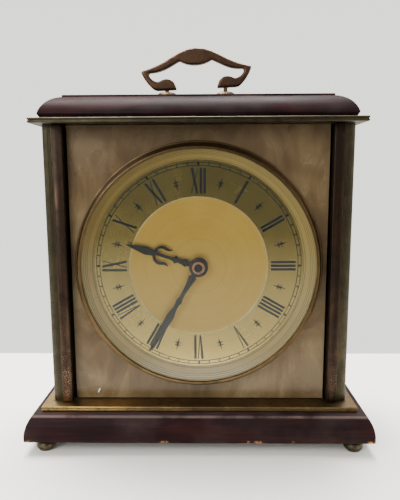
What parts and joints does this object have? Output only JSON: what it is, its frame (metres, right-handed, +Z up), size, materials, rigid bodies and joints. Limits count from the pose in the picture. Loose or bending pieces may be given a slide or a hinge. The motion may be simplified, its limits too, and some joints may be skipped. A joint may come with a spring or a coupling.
{
  "type": "mantel clock",
  "caption": "Mantel clock: wooden base and top, brass plates and pillars, marbled front, round glazed dial with Roman numerals, carrying handle and battery movement.",
  "frame": {"origin": "on the surface it stands on, under the middle of the base", "axes": "+X to the right of a person reading the dial, the dial faces -Y, +Z up"},
  "size_m": [0.195, 0.086, 0.2262],
  "materials": {
    "dark_wood": "dark mahogany stain, satin lacquer",
    "worn_brass": "worn, tarnished in patches",
    "aged_brass": "dark olive patina",
    "bronze": "dark brown patina with copper wear",
    "foot_bronze": "dark, dull",
    "marbled_panel": "onyx effect, polished",
    "back_board": "dark stained board",
    "steel": "plain",
    "bright_brass": "polished",
    "handle_bronze": "antique bronze, satin",
    "bezel_bronze": "dark bronze with a bright worn edge",
    "gilt": "pale gilt, fine concentric grooves",
    "clear_glass": "clear, polished",
    "dial_gilt": "greenish gilt, satin",
    "centre_brass": "spun, satin",
    "hand_black": "satin black",
    "copper_brass": "coppery, polished",
    "black_plastic": "moulded",
    "pale_plastic": "natural nylon",
    "rubber": "matt",
    "gear_brass": "cut brass",
    "copper_wire": "enamelled copper",
    "board_green": "solder mask",
    "battery_case": "metallised printed sleeve, no wording"
  },
  "bodies": {
    "case": {"base_board": "dark_wood", "top_board": "dark_wood", "side_panel_left": "dark_wood", "side_panel_right": "dark_wood", "base_plate": "worn_brass", "top_plate": "aged_brass", "pillar_left": "aged_brass", "pillar_right": "aged_brass", "pillar_strip_left": "bronze", "pillar_strip_right": "bronze", "foot_front_left": "foot_bronze", "foot_front_right": "foot_bronze", "foot_rear_left": "foot_bronze", "foot_rear_right": "foot_bronze", "front_panel": "marbled_panel", "rear_panel": "back_board", "hinge_case_leaf": "worn_brass", "hinge_pin": "steel", "handle": "handle_bronze", "handle_screw_left": "handle_bronze", "handle_screw_right": "handle_bronze", "rosette_left": "bright_brass", "rosette_right": "bright_brass", "bezel": "bezel_bronze", "reflector": "gilt", "glass": "clear_glass", "dial_plate": "dial_gilt", "dial_centre_disc": "centre_brass", "movement_front_case": "black_plastic", "movement_rear_case": "black_plastic", "mounting_nut": "bright_brass", "rubber_washer": "rubber", "stator": "steel", "coil_core": "steel", "coil_bobbin": "pale_plastic", "coil_winding": "copper_wire", "circuit_board": "board_green", "quartz_crystal": "steel", "contact_positive": "steel", "contact_negative": "steel", "base_screw_left": "steel", "base_screw_right": "steel", "top_screw_left": "steel", "top_screw_right": "steel"},
    "minute_set": {"cannon_pinion": "gear_brass", "minute_hand": "hand_black", "hand_nut": "copper_brass"},
    "hour_set": {"hour_wheel": "gear_brass", "hour_hand": "hand_black"},
    "motion_set": {"motion_wheel": "gear_brass", "set_knob": "black_plastic"},
    "centre_wheel": {"centre_wheel": "gear_brass"},
    "third_wheel": {"third_wheel": "pale_plastic"},
    "fourth_wheel": {"fourth_wheel": "pale_plastic"},
    "fifth_wheel": {"fifth_wheel": "pale_plastic"},
    "rotor": {"rotor": "steel"},
    "rear_door": {"rear_door": "back_board", "hinge_door_leaf": "worn_brass", "door_knob": "bright_brass"},
    "battery": {"battery": "battery_case"}
  },
  "joints": [
    {"name": "minute_spin", "type": "hinge", "parent": "case", "child": "minute_set", "pos_m": [0, 0, 0.103], "axis": [0, 1, 0], "continuous": true},
    {"name": "hour_spin", "type": "hinge", "parent": "case", "child": "hour_set", "pos_m": [0, 0, 0.103], "axis": [0, 1, 0], "continuous": true},
    {"name": "motion_spin", "type": "hinge", "parent": "case", "child": "motion_set", "pos_m": [-0.0087, 0, 0.09894], "axis": [0, 1, 0], "continuous": true},
    {"name": "fifth_spin", "type": "hinge", "parent": "case", "child": "fifth_wheel", "pos_m": [0.0165, 0, 0.10473], "axis": [0, 1, 0], "continuous": true},
    {"name": "rotor_spin", "type": "hinge", "parent": "case", "child": "rotor", "pos_m": [0.0217, 0, 0.10173], "axis": [0, 1, 0], "continuous": true},
    {"name": "fourth_spin", "type": "hinge", "parent": "case", "child": "fourth_wheel", "pos_m": [0.013, 0, 0.11079], "axis": [0, 1, 0], "continuous": true},
    {"name": "third_spin", "type": "hinge", "parent": "case", "child": "third_wheel", "pos_m": [0.0045, 0, 0.11079], "axis": [0, 1, 0], "continuous": true},
    {"name": "centre_spin", "type": "hinge", "parent": "case", "child": "centre_wheel", "pos_m": [0, 0, 0.103], "axis": [0, 1, 0], "continuous": true},
    {"name": "door_swing", "type": "hinge", "parent": "case", "child": "rear_door", "pos_m": [-0.0495, 0.03225, 0.103], "axis": [0, 0, 1], "range_deg": [0, 105]},
    {"name": "battery_out", "type": "slide", "parent": "case", "child": "battery", "axis": [0, 1, 0], "range_m": [0, 0.02]}
  ],
  "couplings": [
    {"joint": "hour_spin", "follows": "minute_spin", "ratio": 0.083333},
    {"joint": "motion_spin", "follows": "minute_spin", "ratio": -0.33333},
    {"joint": "rotor_spin", "follows": "fifth_spin", "ratio": -5},
    {"joint": "fourth_spin", "follows": "fifth_spin", "ratio": -0.16667},
    {"joint": "third_spin", "follows": "fifth_spin", "ratio": 0.022222},
    {"joint": "centre_spin", "follows": "fifth_spin", "ratio": -0.0027778}
  ]
}
